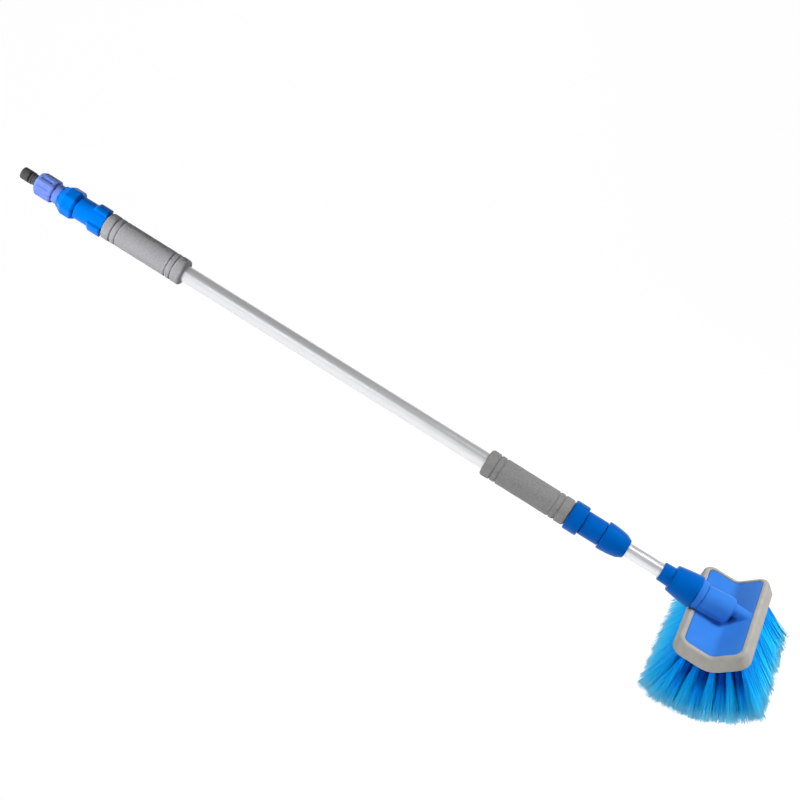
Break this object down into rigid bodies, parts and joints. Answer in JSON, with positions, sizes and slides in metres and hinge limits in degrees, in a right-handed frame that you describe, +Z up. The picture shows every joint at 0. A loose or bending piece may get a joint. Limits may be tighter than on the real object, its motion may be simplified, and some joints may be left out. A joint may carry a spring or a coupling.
{
  "type": "telescopic wash brush",
  "caption": "Telescopic wash brush fed by a hose: a swivelling inlet, foam grips, a twist-locked aluminium pole and a bent head with a soft bumper and flared bristles.",
  "frame": {"origin": "on the floor plane, under the middle of the part's bounding box, with the part lying on its union nut and its bristles", "axes": "+X along the pole, seen from above, from the hose plug to the brush; +Y along the long way of the brush head; +Z up"},
  "size_m": [1.296, 0.225, 0.145],
  "materials": {
    "black_plastic": "satin",
    "seal_rubber": "matte",
    "violet_plastic": "satin",
    "bright_blue_plastic": "satin",
    "lock_blue_plastic": "satin",
    "block_blue_plastic": "satin",
    "tube_aluminium": "satin",
    "light_foam": "matte",
    "dark_foam": "matte",
    "white_nylon": "satin",
    "bumper_rubber": "matte",
    "bristle_fibre": "soft split fibres"
  },
  "bodies": {
    "handle": {"end_fitting": "bright_blue_plastic", "union_nut": "bright_blue_plastic", "tube_washer": "seal_rubber", "outer_tube": "tube_aluminium", "rear_grip": "light_foam", "front_grip": "dark_foam", "lock_collar": "lock_blue_plastic", "lock_body": "lock_blue_plastic", "lock_seal": "seal_rubber", "lock_collet": "white_nylon"},
    "inlet": {"hose_plug": "black_plastic", "plug_o_ring": "seal_rubber", "inlet_washer": "seal_rubber", "inlet_adaptor": "violet_plastic", "adaptor_o_ring": "seal_rubber"},
    "lock_ring": {"lock_thrust_ring": "white_nylon"},
    "lock_nut": {"lock_nut": "lock_blue_plastic"},
    "inner_pole": {"inner_tube": "tube_aluminium", "guide_bush": "white_nylon", "guide_piston": "white_nylon", "piston_o_ring_1": "seal_rubber", "piston_o_ring_2": "seal_rubber", "head_connector": "lock_blue_plastic", "connector_o_ring": "seal_rubber", "coupling_ring": "block_blue_plastic"},
    "head": {"brush_block": "block_blue_plastic", "bumper_rim": "bumper_rubber", "bristles_back_left": "bristle_fibre", "bristles_back_right": "bristle_fibre", "bristles_front_left": "bristle_fibre", "bristles_front_right": "bristle_fibre"}
  },
  "joints": [
    {"name": "inlet_swivel", "type": "hinge", "parent": "handle", "child": "inlet", "pos_m": [-0.57822, 0, 0.02216], "axis": [0.9962, 0, 0.0865], "continuous": true},
    {"name": "lock_ring_slide", "type": "slide", "parent": "handle", "child": "lock_ring", "axis": [0.9962, 0, 0.0865], "range_m": [0, 0.00125]},
    {"name": "lock_nut_turn", "type": "hinge", "parent": "lock_ring", "child": "lock_nut", "pos_m": [0.33584, 0, 0.10156], "axis": [0.9962, 0, 0.0865], "range_deg": [0, 180]},
    {"name": "pole_slide", "type": "slide", "parent": "handle", "child": "inner_pole", "axis": [0.9962, 0, 0.0865], "range_m": [-0.053, 0.648]},
    {"name": "head_turn", "type": "hinge", "parent": "inner_pole", "child": "head", "pos_m": [0.49534, 0, 0.11542], "axis": [0.9962, 0, 0.0865], "range_deg": [-90, 90]}
  ],
  "couplings": [
    {"joint": "lock_ring_slide", "follows": "lock_nut_turn", "m_per_rad": 0.00039789}
  ]
}
